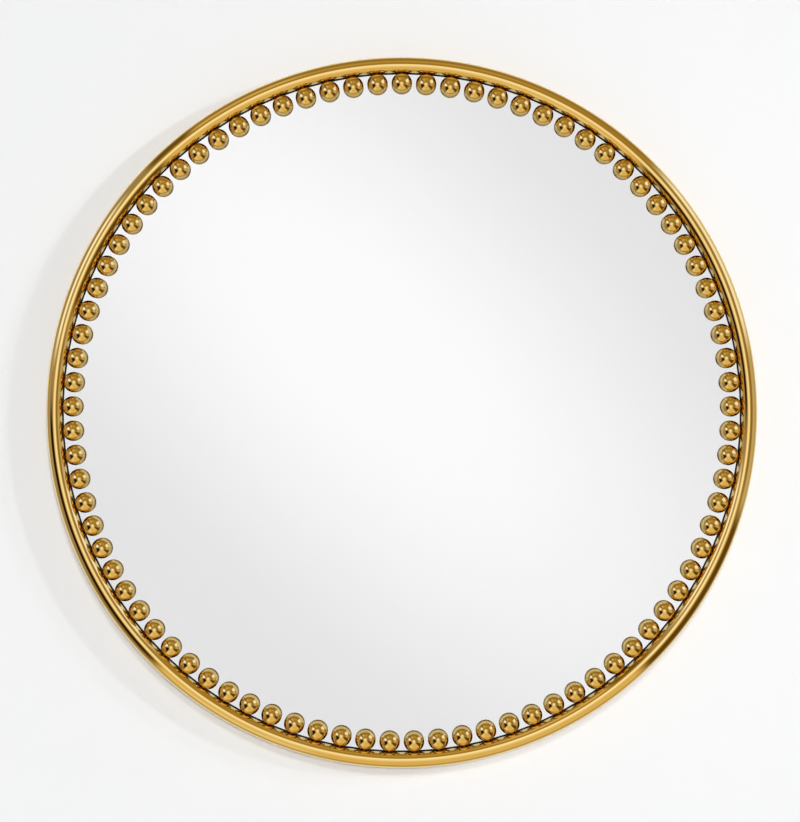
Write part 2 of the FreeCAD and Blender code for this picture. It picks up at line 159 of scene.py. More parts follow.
def new_group(name, inputs, outputs):
    """An empty shader group with named sockets; returns it with what it is given and gives back."""
    tree = bpy.data.node_groups.new(name, "ShaderNodeTree")
    for label, kind, value in inputs:
        socket = tree.interface.new_socket(label, in_out="INPUT", socket_type=kind)
        socket.default_value = value
    for label, kind in outputs:
        tree.interface.new_socket(label, in_out="OUTPUT", socket_type=kind)
    return tree, tree.nodes.new("NodeGroupInput").outputs, tree.nodes.new("NodeGroupOutput").inputs


COLOUR, NUMBER, VECTOR = "NodeSocketColor", "NodeSocketFloat", "NodeSocketVector"


def make_metal_skin():
    """Polished or plated metal that has been handled: slow drifts of tone, fine scratches."""
    tree, given, out = new_group("metal_skin", [
        ("Clean", COLOUR, (0.9, 0.7, 0.3, 1)), ("Aged", COLOUR, (0.6, 0.4, 0.1, 1)),
        ("Age scale", NUMBER, 30.0), ("Age amount", NUMBER, 0.2),
        ("Roughness", NUMBER, 0.1), ("Roughness spread", NUMBER, 0.05),
        ("Scratch scale", NUMBER, 900.0),
    ], [("Colour", COLOUR), ("Roughness", NUMBER), ("Height", NUMBER)])
    place = object_place(tree)
    drift = noise(tree, place, given["Age scale"], 5.0, 0.6)
    aged = maths(tree, "MULTIPLY", ramp_between(tree, drift, 0.42, 0.72), given["Age amount"])
    turned = add_node(tree, "ShaderNodeMapping", {"Vector": place, "Rotation": (0.6, 0.3, 0.9),
                                                  "Scale": (1, 9, 1)})
    lines = ramp_between(tree, noise(tree, turned.outputs[0], given["Scratch scale"], 2.0),
                         0.62, 0.72)
    extra = maths(tree, "ADD", aged, maths(tree, "MULTIPLY", lines, 0.5))
    tree.links.new(blend_colours(tree, aged, given["Clean"], given["Aged"]), out["Colour"])
    tree.links.new(maths(tree, "ADD", given["Roughness"],
                         maths(tree, "MULTIPLY", extra, given["Roughness spread"])),
                   out["Roughness"])
    tree.links.new(lines, out["Height"])
    return tree


def make_ring_lines():
    """Fine lines round the mirror's axis, as a polishing wheel or a rolling mill leaves them."""
    tree, given, out = new_group("ring_lines", [
        ("Lines per metre", NUMBER, 2500.0), ("Length", NUMBER, 3.0)], [("Height", NUMBER)])
    parts = parts_of(tree, object_place(tree))
    radius = vector_maths(tree, "LENGTH", vector(tree, parts[0], parts[2]))["Value"]
    turn = maths(tree, "ARCTAN2", parts[2], parts[0])
    fine = given["Lines per metre"]
    flat = vector(tree, maths(tree, "MULTIPLY", radius, fine),
                  maths(tree, "MULTIPLY", parts[1], fine),
                  maths(tree, "MULTIPLY", turn, given["Length"]))
    tree.links.new(noise(tree, flat, 1.0, 3.0), out["Height"])
    return tree


def make_joint_shade():
    """Painted shade: darker brass round the joints of ball and tube, where the two shade and mirror
    each other, and on the back, behind the given level.
    """
    tree, given, out = new_group("joint_shade", [
        ("Clean", COLOUR, (0.9, 0.7, 0.3, 1)), ("Painted shade", COLOUR, (0.1, 0.05, 0.01, 1)),
        ("Joints", NUMBER, 85.0), ("Ring", NUMBER, 0.36), ("Level", NUMBER, 0.0),
        ("Reach", NUMBER, 0.004), ("Amount", NUMBER, 0.8), ("Back shade amount", NUMBER, 0.0),
    ], [("Colour", COLOUR), ("Mask", NUMBER)])
    place = object_place(tree)
    parts = parts_of(tree, place)
    radius = vector_maths(tree, "LENGTH", vector(tree, parts[0], parts[2]))["Value"]
    step = maths(tree, "DIVIDE", 2 * math.pi, given["Joints"])
    turns = maths(tree, "DIVIDE", maths(tree, "ARCTAN2", parts[0], parts[2]), step)
    past = maths(tree, "SUBTRACT", turns, maths(tree, "ROUND", turns))
    behind = maths(tree, "SUBTRACT", parts[1], given["Level"])
    offset = vector(tree, maths(tree, "SUBTRACT", radius, given["Ring"]), behind,
                    maths(tree, "MULTIPLY", maths(tree, "MULTIPLY", past, step), given["Ring"]))
    away = vector_maths(tree, "LENGTH", offset)["Value"]
    cloud = maths(tree, "SUBTRACT", noise(tree, place, 420.0, 3.0), 0.5)
    ragged = maths(tree, "ADD", away, maths(tree, "MULTIPLY", cloud, 0.002))
    near = maths(tree, "MULTIPLY", given["Reach"], 0.3)
    joint = maths(tree, "MULTIPLY", ramp_between(tree, ragged, given["Reach"], near),
                  given["Amount"])
    # Painted shade on the side behind the given level.
    back = maths(tree, "MULTIPLY", ramp_between(tree, behind, 0.0, 0.004), given["Back shade amount"])
    mask = maths(tree, "MAXIMUM", joint, back)
    tree.links.new(blend_colours(tree, mask, given["Clean"], given["Painted shade"]), out["Colour"])
    tree.links.new(mask, out["Mask"])
    return tree


metal_skin = make_metal_skin()
ring_lines = make_ring_lines()
joint_shade = make_joint_shade()


def new_material(name):
    """A material whose node tree holds only the Principled shader and its output."""
    material = bpy.data.materials.new(name)
    material.use_nodes = True
    tree = material.node_tree
    tree.nodes.clear()
    shader = tree.nodes.new("ShaderNodeBsdfPrincipled")
    add_node(tree, "ShaderNodeOutputMaterial", {"Surface": shader.outputs[0]})
    return material, tree, shader


def use_group(tree, group, values=()):
    return add_node(tree, "ShaderNodeGroup", values, node_tree=group).outputs


def bump(tree, shader, height, depth):
    """Relief of the given depth in metres."""
    node = add_node(tree, "ShaderNodeBump", {"Height": height, "Distance": depth, "Strength": 1.0})
    tree.links.new(node.outputs[0], shader.inputs["Normal"])


def metal(name, clean, aged, age_scale, age_amount, roughness, spread, scratch_scale,
          lines=None, relief=0.0, limb=None, joints=None):
    """Bare or plated metal: lines gives the count per metre and the share of them in the relief,
    limb a tint at a grazing angle, darker than real metal's on the balls to paint shade on their
    rims, and joints the place and amount of the painted shade round soldered joints."""
    material, tree, shader = new_material(name)
    skin = use_group(tree, metal_skin, {
        "Clean": clean, "Aged": aged, "Age scale": age_scale, "Age amount": age_amount,
        "Roughness": roughness, "Roughness spread": spread, "Scratch scale": scratch_scale})
    colour, rough = skin["Colour"], skin["Roughness"]
    if joints:
        painted_shade = use_group(tree, joint_shade, {**joints, "Clean": colour})
        colour = painted_shade["Colour"]
        rough = maths(tree, "ADD", rough, maths(tree, "MULTIPLY", painted_shade["Mask"], 0.15))
    tree.links.new(colour, shader.inputs["Base Color"])
    tree.links.new(rough, shader.inputs["Roughness"])
    shader.inputs["Metallic"].default_value = 1.0
    if limb:
        shader.inputs["Specular Tint"].default_value = limb
    height = skin["Height"]
    if lines:
        along = use_group(tree, ring_lines, {"Lines per metre": lines[0]})
        height = maths(tree, "ADD", height, maths(tree, "MULTIPLY", along["Height"], lines[1]))
    bump(tree, shader, height, relief)
    return material


def dress(piece, material, body="root", stands_for=()):
    """Material, body, slot and replaced nodes of one finished piece."""
    piece.data.materials.clear()
    piece.data.materials.append(material)
    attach(piece, body)
    if stands_for:
        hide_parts(*stands_for)
    return piece


BRASS_CLEAN = (0.915, 0.670, 0.250, 1)
BRASS_AGED = (0.800, 0.510, 0.140, 1)
# The joint colour and its reach paint shade round the joints of ball and tube.
BRASS_JOINT_SHADE = (0.240, 0.120, 0.032, 1)
JOINT_SHADE_REACH = 6.5 * MM
BALL_COUNT = 85
TUBE_SECTION_SIDES = 40
RIM_STEPS = 360

tube_low, tube_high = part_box("rim_tube")
tube_radius = (tube_high.y - tube_low.y) / 2
tube_level = (tube_high.y + tube_low.y) / 2
rim_radius = min(tube_high.x, tube_high.z, -tube_low.x, -tube_low.z)
tube_ring = rim_radius - tube_radius
tube_inner = rim_radius - 2 * tube_radius

deselect()
bpy.ops.mesh.primitive_circle_add(vertices=TUBE_SECTION_SIDES, radius=tube_radius,
                                  location=(tube_ring, tube_level, 0))
tube = spin_round(named("rolled_tube"), RIM_STEPS)
# Painted shade: the joint mask darkens the tube's inner side round each ball, where ball and tube
# shade and mirror each other.
ball_joints = {"Painted shade": BRASS_JOINT_SHADE, "Joints": BALL_COUNT, "Ring": tube_inner,
               "Level": tube_level, "Reach": JOINT_SHADE_REACH, "Amount": 0.62}
tube_brass = metal("brass_polished_tube", BRASS_CLEAN, BRASS_AGED, 9.0, 0.25, 0.04, 0.04, 1400.0,
                   lines=(1900.0, 0.5), relief=0.00000012, joints=ball_joints)
dress(tube, tube_brass, stands_for=["rim_tube"])

# ------------------------------------------------------------------ rear band
# A flat brass bar, rolled on edge, carries the mirror out from the wall.  Its rear edges are eased
# with a file, and its front edge is soldered into the back of the tube.
BAND_THICKNESS = 3.0 * MM
BAND_EASE = 0.5 * MM
BAND_SINK = 1.2 * MM

band_low, band_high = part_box("rear_band")
band_outer = min(band_high.x, band_high.z)
band_inner = band_outer - BAND_THICKNESS
band_front = band_low.y - BAND_SINK


def strip_section(name, inner, outer, front, back):
    """A rectangle at z = 0, ready to be spun round the axis."""
    deselect()
    bpy.ops.mesh.primitive_plane_add(size=1, location=((inner + outer) / 2, (front + back) / 2, 0))
    bpy.context.object.scale = (outer - inner, back - front, 1)
    return named(name)


def pick(piece, test, mode="VERT"):
    """In edit mode, selects only the vertices, edges or faces whose middle and direction pass
    the test.  The direction is the normal, or the line of an edge."""
    shape = bmesh.from_edit_mesh(piece.data)
    for items in (shape.faces, shape.edges, shape.verts):
        for item in items:
            item.select_set(False)
    if mode == "VERT":
        chosen = [corner for corner in shape.verts if test(corner.co, corner.normal)]
    elif mode == "EDGE":
        chosen = []
        for side in shape.edges:
            start, end = (corner.co for corner in side.verts)
            if test((start + end) / 2, (end - start).normalized()):
                chosen.append(side)
    else:
        chosen = [face for face in shape.faces if test(face.calc_center_median(), face.normal)]
    for item in chosen:
        item.select_set(True)
    shape.select_flush_mode()
    bmesh.update_edit_mesh(piece.data)


def round_off(piece, test, offset, segments, mode="EDGE"):
    """Bevels the edges, or the corners of a flat section, that pass the test."""
    edit(piece, mode)
    pick(piece, test, mode)
    bpy.ops.mesh.bevel(offset=offset, segments=segments,
                       affect="VERTICES" if mode == "VERT" else "EDGES")
    end_edit()


band = strip_section("rolled_band", band_inner, band_outer, band_front, band_high.y)
round_off(band, lambda at, normal: at.y > band_high.y - MM, BAND_EASE, 4, "VERT")
spin_round(band, RIM_STEPS)
band_brass = metal("brass_satin_band", BRASS_CLEAN, BRASS_AGED, 14.0, 0.5, 0.16, 0.12, 1100.0,
                   lines=(3200.0, 1.0), relief=0.0000015)
dress(band, band_brass, stands_for=["rear_band"])

# ------------------------------------------------------------------ brass balls
# Eighty-five solid brass balls, machined, tumbled and buffed to a mirror polish.  Each one sits on
# the inner side of the tube, just clear of the glass.
# The balls' grazing tint is darker than real brass's: it paints shade on their rims.
BALL_LIMB_SHADE = (0.52, 0.47, 0.45, 1)
BALL_SEGMENTS = 44
BALL_RINGS = 22

ball_low, ball_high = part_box("brass_balls")
ball_radius = (ball_high.y - ball_low.y) / 2
ball_level = (ball_high.y + ball_low.y) / 2
ball_ring = ball_high.z - ball_radius


def copy_of(piece):
    """A copy with a mesh of its own."""
    copy = piece.copy()
    copy.data = piece.data.copy()
    bpy.context.collection.objects.link(copy)
    return copy


def turn_round(piece, angle):
    """Turns the piece's mesh about the mirror's axis."""
    piece.data.transform(Matrix.Rotation(angle, 4, "Y"))


def joined(pieces):
    """Joins pieces into the first of them."""
    deselect()
    for piece in pieces:
        piece.select_set(True)
    bpy.context.view_layer.objects.active = pieces[0]
    bpy.ops.object.join()
    return pieces[0]


def ring_of(piece, count, first=0.0):
    """A piece drawn at twelve o'clock and its copies, spread evenly round the axis and joined."""
    copies = [piece] + [copy_of(piece) for _ in range(1, count)]
    for number, copy in enumerate(copies):
        if number:
            turn_round(copy, 2 * math.pi * number / count)
        if first:
            turn_round(copy, first)
    return joined(copies)


deselect()
bpy.ops.mesh.primitive_uv_sphere_add(segments=BALL_SEGMENTS, ring_count=BALL_RINGS,
                                     radius=ball_radius, location=(0, ball_level, ball_ring))
ball = named("buffed_balls")
bpy.ops.object.shade_smooth()
balls = ring_of(ball, BALL_COUNT)
# Painted shade: the balls are darker round their joints with the tube and on their backs towards
# the glass.
ball_brass = metal("brass_mirror_polish", BRASS_CLEAN, BRASS_AGED, 60.0, 0.15, 0.03, 0.04, 2200.0,
                   relief=0.00000005, limb=BALL_LIMB_SHADE, joints={**ball_joints, "Back shade amount": 0.6})
dress(balls, ball_brass, stands_for=["brass_balls"])

# ------------------------------------------------------------------ solder collars
# Where a ball meets the tube a waisted collar of brass solder fills the gap between the two round
# surfaces.  It is wiped clean and buffed with the rest.
COLLAR_RADIUS = 2.1 * MM
COLLAR_HALF = 0.75 * MM
COLLAR_WAIST = 0.72
COLLAR_SIDES = 18

contact = (ball_ring + ball_radius + tube_inner) / 2
deselect()
bpy.ops.mesh.primitive_cylinder_add(vertices=COLLAR_SIDES, radius=COLLAR_RADIUS,
                                    depth=2 * COLLAR_HALF,
                                    location=(0, (ball_level + tube_level) / 2, contact))
collar = named("solder_collars")
edit(collar)
pick(collar, lambda middle, along: abs(along.z) > 0.9, "EDGE")
bpy.ops.mesh.subdivide(number_cuts=3)
end_edit()
edit(collar)
for nearest, farthest, waist in ((0.0, 0.1, COLLAR_WAIST), (0.4, 0.6, COLLAR_WAIST * 1.1)):
    pick(collar, lambda at, normal: nearest <= abs(at.z - contact) / COLLAR_HALF < farthest)
    bpy.ops.transform.resize(value=(waist, waist, 1))
end_edit()
smooth(50)
collars = ring_of(collar, BALL_COUNT)
# The collars take the same painted shade round the joints.
solder = metal("brass_solder", (0.86, 0.60, 0.24, 1), (0.50, 0.30, 0.10, 1), 300.0, 0.7, 0.22, 0.2,
               1500.0, relief=0.000002, joints=ball_joints)
dress(collars, solder)

# ------------------------------------------------------------------ glazing gasket
# A flat black rubber strip lies under the tube and keeps the glass off the metal.  Its inner lip
# shows from the front as the thin black line inside the rim.
GASKET_LIP = 0.35 * MM
GASKET_SHOWS = 0.95 * MM

gasket_low, gasket_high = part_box("glazing_gasket")
gasket_inner = tube_inner - GASKET_SHOWS
gasket = strip_section("rubber_gasket", gasket_inner, gasket_high.x, gasket_low.y, gasket_high.y)
round_off(gasket, lambda at, normal: at.x < gasket_inner + MM and at.y < gasket_low.y + MM,
          GASKET_LIP, 5, "VERT")
spin_round(gasket, RIM_STEPS)


def make_fine_grain():
    """Matt surface with a fine grain and lighter flecks, such as rubber, foam or board."""
    tree, given, out = new_group("fine_grain", [
        ("Body", COLOUR, (0.1, 0.1, 0.1, 1)), ("Fleck", COLOUR, (0.2, 0.2, 0.2, 1)),
        ("Grain scale", NUMBER, 900.0), ("Fleck scale", NUMBER, 120.0),
        ("Fleck amount", NUMBER, 0.5),
    ], [("Colour", COLOUR), ("Height", NUMBER)])
    place = object_place(tree)
    grain = noise(tree, place, given["Grain scale"], 4.0, 0.7)
    patches = noise(tree, place, given["Fleck scale"], 6.0, 0.65)
    mask, fine = (maths(tree, "MULTIPLY", ramp_between(tree, value, low, high),
                        given["Fleck amount"])
                  for value, low, high in ((patches, 0.45, 0.68), (grain, 0.35, 0.75)))
    both = maths(tree, "MAXIMUM", mask, maths(tree, "MULTIPLY", fine, 0.6))
    tree.links.new(blend_colours(tree, both, given["Body"], given["Fleck"]), out["Colour"])
    tree.links.new(grain, out["Height"])
    return tree


fine_grain = make_fine_grain()


def matt(name, body, fleck, grain_scale, fleck_scale, amount, roughness, relief):
    material, tree, shader = new_material(name)
    grain = use_group(tree, fine_grain, {
        "Body": body, "Fleck": fleck, "Grain scale": grain_scale, "Fleck scale": fleck_scale,
        "Fleck amount": amount})
    tree.links.new(grain["Colour"], shader.inputs["Base Color"])
    shader.inputs["Roughness"].default_value = roughness
    bump(tree, shader, grain["Height"], relief)
    return material


black_rubber = matt("rubber_black", (0.010, 0.008, 0.006, 1), (0.024, 0.021, 0.019, 1),
                    1500.0, 200.0, 0.6, 0.6, 0.00002)
dress(gasket, black_rubber, stands_for=["glazing_gasket"])

# ------------------------------------------------------------------ mirror glass
# Five millimetres of float glass with a ground arris on both edges, silvered on the back.  The
# silver and its grey safety paint are one thin coat that lies against the glass.
ARRIS = 0.6 * MM
COAT = 0.06 * MM
COAT_GAP = 0.005 * MM
GLASS_STEPS = 256

glass_low, glass_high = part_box("mirror_glass")
glass_radius = glass_high.x


def round_bar(name, radius, front, back, z, sides):
    """A cylinder along y, from front to back."""
    deselect()
    bpy.ops.mesh.primitive_cylinder_add(vertices=sides, radius=radius, depth=back - front,
                                        location=(0, (front + back) / 2, z),
                                        rotation=(math.pi / 2, 0, 0))
    return named(name)


def disc(name, radius, front, back, ease=0.0):
    """Round plate square to the axis, with eased edges."""
    plate = round_bar(name, radius, front, back, 0, GLASS_STEPS)
    if ease:
        round_off(plate, lambda middle, along: abs(along.y) < 0.5, ease, 2)
    smooth(20)
    return plate


glass = disc("float_glass", glass_radius, glass_low.y, glass_high.y - COAT - COAT_GAP, ARRIS)
coat = disc("silvered_back", glass_radius - ARRIS, glass_high.y - COAT, glass_high.y)

clear_glass, tree, shader = new_material("glass_clear")
tint = use_group(tree, fine_grain, {
    "Body": (0.985, 0.995, 0.988, 1), "Fleck": (0.992, 0.998, 0.994, 1),
    "Grain scale": 3.0, "Fleck scale": 2.0, "Fleck amount": 0.5})
tree.links.new(tint["Colour"], shader.inputs["Base Color"])
shader.inputs["Transmission Weight"].default_value = 1.0
shader.inputs["IOR"].default_value = 1.52
shader.inputs["Roughness"].default_value = 0.0
dress(glass, clear_glass, stands_for=["mirror_glass"])

silver = metal("silver_coat", (0.850, 0.858, 0.853, 1), (0.835, 0.843, 0.838, 1),
               5.0, 0.3, 0.0, 0.002, 60.0)
paint = matt("coat_paint_grey", (0.16, 0.18, 0.19, 1), (0.20, 0.22, 0.23, 1),
             700.0, 40.0, 0.5, 0.5, 0.00001)
dress(coat, silver)
coat.data.materials.append(paint)
for face in coat.data.polygons:
    face.material_index = 0 if face.normal.y < -0.5 else 1

# ------------------------------------------------------------------ setting blocks
# Two rubber blocks under the glass carry its weight on the band, so that no glass edge touches
# metal.
BLOCK_LENGTH = 30.0 * MM
BLOCK_TURN = math.radians(20)
SOFT_EASE = 0.3 * MM

block_low, block_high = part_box("setting_blocks")
block_inner = glass_radius + 0.2 * MM
block_outer = math.sqrt(band_inner ** 2 - (BLOCK_LENGTH / 2) ** 2)


def plain_box(name, size, centre):
    deselect()
    bpy.ops.mesh.primitive_cube_add(size=1, location=centre)
    bpy.context.object.scale = size
    return named(name)


def eased_box(name, size, centre, ease):
    """Rectangular piece with all its edges rounded."""
    piece = plain_box(name, size, centre)
    round_off(piece, lambda middle, along: True, ease, 3)
    smooth(40)
    return piece


block = eased_box("rubber_blocks",
                  (BLOCK_LENGTH, block_high.y - block_low.y, block_outer - block_inner),
                  (0, (block_low.y + block_high.y) / 2, -(block_inner + block_outer) / 2),
                  SOFT_EASE)
second_block = copy_of(block)
turn_round(block, BLOCK_TURN)
turn_round(second_block, -BLOCK_TURN)
dress(joined([block, second_block]), black_rubber,
      stands_for=["setting_blocks"])

# ------------------------------------------------------------------ foam pads
# Eight die-cut squares of white closed-cell foam take up the play between glass and board.
PAD_COUNT = 8
PAD_SIDE = 30.0 * MM
PAD_RING = 300.0 * MM

pad_low, pad_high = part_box("foam_pads")
pad = eased_box("foam_squares", (PAD_SIDE, pad_high.y - pad_low.y, PAD_SIDE),
                (0, (pad_low.y + pad_high.y) / 2, PAD_RING), SOFT_EASE)
pads = ring_of(pad, PAD_COUNT)
foam = matt("foam_white", (0.80, 0.80, 0.78, 1), (0.66, 0.66, 0.64, 1),
            2600.0, 900.0, 0.7, 0.85, 0.00006)
dress(pads, foam, stands_for=["foam_pads"])

# ------------------------------------------------------------------ backing board
# A six-millimetre fibreboard disc, sawn round and eased at both edges, closes the back.
BOARD_EASE = 0.5 * MM

board_low, board_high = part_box("backing_board")
board = disc("fibreboard_back", board_high.x, board_low.y, board_high.y, BOARD_EASE)
fibreboard = matt("fibreboard_raw", (0.32, 0.200, 0.105, 1), (0.43, 0.29, 0.165, 1),
                  900.0, 320.0, 0.45, 0.72, 0.00004)
dress(board, fibreboard, stands_for=["backing_board"])

# ------------------------------------------------------------------ board lugs
# Six bent strips of plated steel are riveted inside the band.  The board lies against none of
# them: each one only carries the stud of a turn button.
LUG_COUNT = 6
LUG_WIDTH = 16.0 * MM
LUG_REACH = 14.0 * MM
LUG_THICKNESS = 2.0 * MM
LUG_LEG = 6.0 * MM
NEAR = 0.1 * MM

lug_back = board_high.y
lug_inner = band_inner - LUG_REACH
lug_outer = math.sqrt(band_inner ** 2 - (LUG_WIDTH / 2) ** 2)


def ease_edges(piece, width, segments, sharp_deg):
    """Rounds the edges that are sharper than this."""
    focus(piece)
    ease = piece.modifiers.new("eased", "BEVEL")
    ease.width = width
    ease.segments = segments
    ease.limit_method = "ANGLE"
    ease.angle_limit = math.radians(sharp_deg)
    bpy.ops.object.modifier_apply(modifier=ease.name)


lug = plain_box("bent_lugs", (LUG_WIDTH, LUG_THICKNESS, lug_outer - lug_inner),
                (0, lug_back - LUG_THICKNESS / 2, (lug_inner + lug_outer) / 2))
edit(lug)
bpy.ops.mesh.select_all(action="SELECT")
bpy.ops.mesh.bisect(plane_co=(0, 0, lug_outer - LUG_THICKNESS), plane_no=(0, 0, 1))
pick(lug, lambda middle, normal: normal.y < -0.9 and middle.z > lug_outer - LUG_THICKNESS, "FACE")
bpy.ops.mesh.extrude_region_move(TRANSFORM_OT_translate={"value": (0, LUG_THICKNESS - LUG_LEG, 0)})
end_edit()
round_off(lug, lambda middle, along: abs(along.x) > 0.9 and middle.z > lug_outer - NEAR
          and middle.y > lug_back - NEAR, LUG_THICKNESS * 0.8, 5)
ease_edges(lug, 0.25 * MM, 2, 50)
smooth(40)
lugs = ring_of(lug, LUG_COUNT)
plated_steel = metal("steel_zinc_plated", (0.44, 0.44, 0.43, 1), (0.31, 0.30, 0.28, 1),
                     90.0, 0.6, 0.26, 0.15, 1500.0, relief=0.000001)
dress(lugs, plated_steel, stands_for=["board_lugs"])

# ------------------------------------------------------------------ shoulder studs
# A turned stud with a low domed head is riveted into each lug.  Its shoulder leaves the turn
# button free to swing, with just enough friction to stay where it is put.
STUD_INSET = 7.5 * MM
STUD_HEAD = 4.0 * MM
STUD_HEAD_THICKNESS = 1.5 * MM
STUD_SHANK = 2.0 * MM
STUD_SIDES = 32

stud_low, stud_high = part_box("button_studs")
stud_ring = band_inner - STUD_INSET
head_front = stud_high.y - STUD_HEAD_THICKNESS
shank = round_bar("turned_studs", STUD_SHANK, stud_low.y, stud_high.y - 0.5 * MM, stud_ring,
                  STUD_SIDES)
head = round_bar("stud_heads", STUD_HEAD, head_front, stud_high.y, stud_ring, STUD_SIDES)
round_off(head, lambda middle, along: abs(along.y) < 0.5 and middle.y > stud_high.y - NEAR,
          1.0 * MM, 5)
round_off(head, lambda middle, along: abs(along.y) < 0.5 and middle.y < head_front + NEAR,
          0.2 * MM, 2)
stud = joined([shank, head])
smooth(35)
dress(ring_of(stud, LUG_COUNT), plated_steel, stands_for=["button_studs"])

# ------------------------------------------------------------------ turn buttons
# Six stamped buttons swing over the edge of the board and hold it in.  Each is a plated strip with
# round ends, tumbled smooth, and turns about its stud.
BUTTON_LENGTH = 26.5 * MM
BUTTON_WIDTH = 9.0 * MM
BUTTON_TAIL = 4.5 * MM
BUTTON_END = 4.2 * MM
BUTTON_HOLE = 2.05 * MM
BUTTON_EASE = 0.3 * MM


def cut_away(piece, cutter):
    """Takes the cutter's shape out of the piece."""
    focus(piece)
    cut = piece.modifiers.new("cut", "BOOLEAN")
    cut.object = cutter
    cut.operation = "DIFFERENCE"
    cut.solver = "EXACT"
    bpy.ops.object.modifier_apply(modifier=cut.name)
    bpy.data.objects.remove(cutter)


def drilled(piece, radius, places, depth):
    """Cuts round holes along y through a piece."""
    for place in places:
        deselect()
        bpy.ops.mesh.primitive_cylinder_add(vertices=32, radius=radius, depth=depth,
                                            location=place, rotation=(math.pi / 2, 0, 0))
        cut_away(piece, bpy.context.object)


for number in range(1, LUG_COUNT + 1):
    node = f"turn_button_{number}"
    low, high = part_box(node)
    thickness = high.y - low.y
    middle_y = (low.y + high.y) / 2
    button = plain_box(f"stamped_button_{number}", (BUTTON_WIDTH, thickness, BUTTON_LENGTH),
                       (0, middle_y, stud_ring + BUTTON_TAIL - BUTTON_LENGTH / 2))
    round_off(button, lambda middle, along: abs(along.y) > 0.9, BUTTON_END, 8)
    drilled(button, BUTTON_HOLE, [(0, middle_y, stud_ring)], 4 * thickness)
    ease_edges(button, BUTTON_EASE, 3, 60)
    smooth(40)
    turn_round(button, 2 * math.pi * (number - 1) / LUG_COUNT)
    dress(button, plated_steel, node, [node])

# ------------------------------------------------------------------ hanger straps
# Each strap is a plated steel strip screwed to the board, rolled at its top into an eye round the
# straight bar of the hanging ring.
STRAP_WIDTH = 12.0 * MM
STRAP_THICKNESS = 1.2 * MM
STRAP_LENGTH = 46.0 * MM
STRAP_RISE = 3.0 * MM
STRAP_CORNER = 2.5 * MM
STRAP_HOLE = 1.8 * MM
HANGER_X = 200.0 * MM
WIRE_RADIUS = 1.25 * MM
EYE_CLEARANCE = 0.05 * MM
EYE_TURN = math.radians(300)
SCREW_DROPS = (27.0 * MM, 39.0 * MM)

strap_low, strap_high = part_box("hanger_straps")
ring_low, ring_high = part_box("hanger_ring_left")
eye_inner = WIRE_RADIUS + EYE_CLEARANCE
pivot_level = (ring_low.y + ring_high.y) / 2
hanger_z = strap_low.z + STRAP_LENGTH
strap_level = board_high.y + STRAP_THICKNESS / 2

strap = plain_box("rolled_straps", (STRAP_WIDTH, STRAP_THICKNESS, STRAP_LENGTH - STRAP_RISE),
                  (0, strap_level, strap_low.z + (STRAP_LENGTH - STRAP_RISE) / 2))
round_off(strap, lambda middle, along: abs(along.y) > 0.9 and middle.z < strap_low.z + MM,
          STRAP_CORNER, 6)
edit(strap, "FACE")
pick(strap, lambda middle, normal: normal.z > 0.9, "FACE")
lift = pivot_level - eye_inner - STRAP_THICKNESS - board_high.y
bpy.ops.mesh.extrude_region_move(TRANSFORM_OT_translate={"value": (0, lift, STRAP_RISE)})
bpy.ops.mesh.spin(steps=20, angle=-EYE_TURN, center=(0, pivot_level, hanger_z), axis=(1, 0, 0))
end_edit()
drilled(strap, STRAP_HOLE, [(0, strap_level, hanger_z - drop) for drop in SCREW_DROPS],
        4 * STRAP_THICKNESS)
ease_edges(strap, 0.15 * MM, 2, 60)
smooth(35)


def left_and_right(piece):
    """The piece drawn on the centre line, at the left hanger, joined to its copy at the right."""
    copy = copy_of(piece)
    piece.data.transform(Matrix.Translation((-HANGER_X, 0, 0)))
    copy.data.transform(Matrix.Translation((HANGER_X, 0, 0)))
    return joined([piece, copy])


dress(left_and_right(strap), plated_steel, stands_for=["hanger_straps"])

# ------------------------------------------------------------------ hanger screws
# Two pan-head wood screws with a cross recess hold each strap to the board.
SCREW_HEAD_RADIUS = 3.0 * MM
SCREW_HEAD_HEIGHT = 1.8 * MM
SCREW_DOME = 1.1 * MM
SCREW_POINT, SCREW_SHANK = 0.4 * MM, 1.5 * MM
RECESS_LONG = 3.4 * MM
RECESS_WIDE = 0.75 * MM
RECESS_DEEP = 1.1 * MM
RECESS_FOOT = (0.45, 1, 0.6)

screw_low, screw_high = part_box("hanger_screws")
screws = []
for number, drop in enumerate(SCREW_DROPS):
    z = hanger_z - drop
    screw = round_bar(f"pan_screw_{number}", SCREW_HEAD_RADIUS, screw_high.y - SCREW_HEAD_HEIGHT,
                      screw_high.y, z, 40)
    round_off(screw, lambda middle, along: abs(along.y) < 0.5 and middle.y > screw_high.y - NEAR,
              SCREW_DOME, 6)
    slant = math.radians(20 + 55 * number)
    for quarter in (0, math.pi / 2):
        cutter = plain_box("recess", (RECESS_LONG, 2 * RECESS_DEEP, RECESS_WIDE), (0, 0, 0))
        edit(cutter)
        pick(cutter, lambda at, normal: at.y < 0)
        bpy.ops.transform.resize(value=RECESS_FOOT)
        end_edit()
        turn_round(cutter, slant + quarter)
        cutter.data.transform(Matrix.Translation((0, screw_high.y, z)))
        cut_away(screw, cutter)
    stem_front = screw_low.y
    stem_back = screw_high.y - SCREW_HEAD_HEIGHT + NEAR
    deselect()
    bpy.ops.mesh.primitive_cone_add(vertices=24, radius1=SCREW_POINT, radius2=SCREW_SHANK,
                                    depth=stem_back - stem_front,
                                    location=(0, (stem_front + stem_back) / 2, z),
                                    rotation=(-math.pi / 2, 0, 0))
    screws.append(joined([screw, named(f"screw_stem_{number}")]))
    smooth(35)
screw_pair = joined(screws)
screw_pair.name = "pan_head_screws"
dress(left_and_right(screw_pair), plated_steel, stands_for=["hanger_screws"])

# ------------------------------------------------------------------ hanging rings
# A D of round plated wire, bent up and butt welded in the middle of its straight bar, swings in
# the eye of each strap.
RING_OPENING = 18.0 * MM
RING_LEG = 4.0 * MM
RING_CORNER = 1.9 * MM

ring_half = RING_OPENING / 2 + WIRE_RADIUS
corner_x = ring_half - RING_CORNER


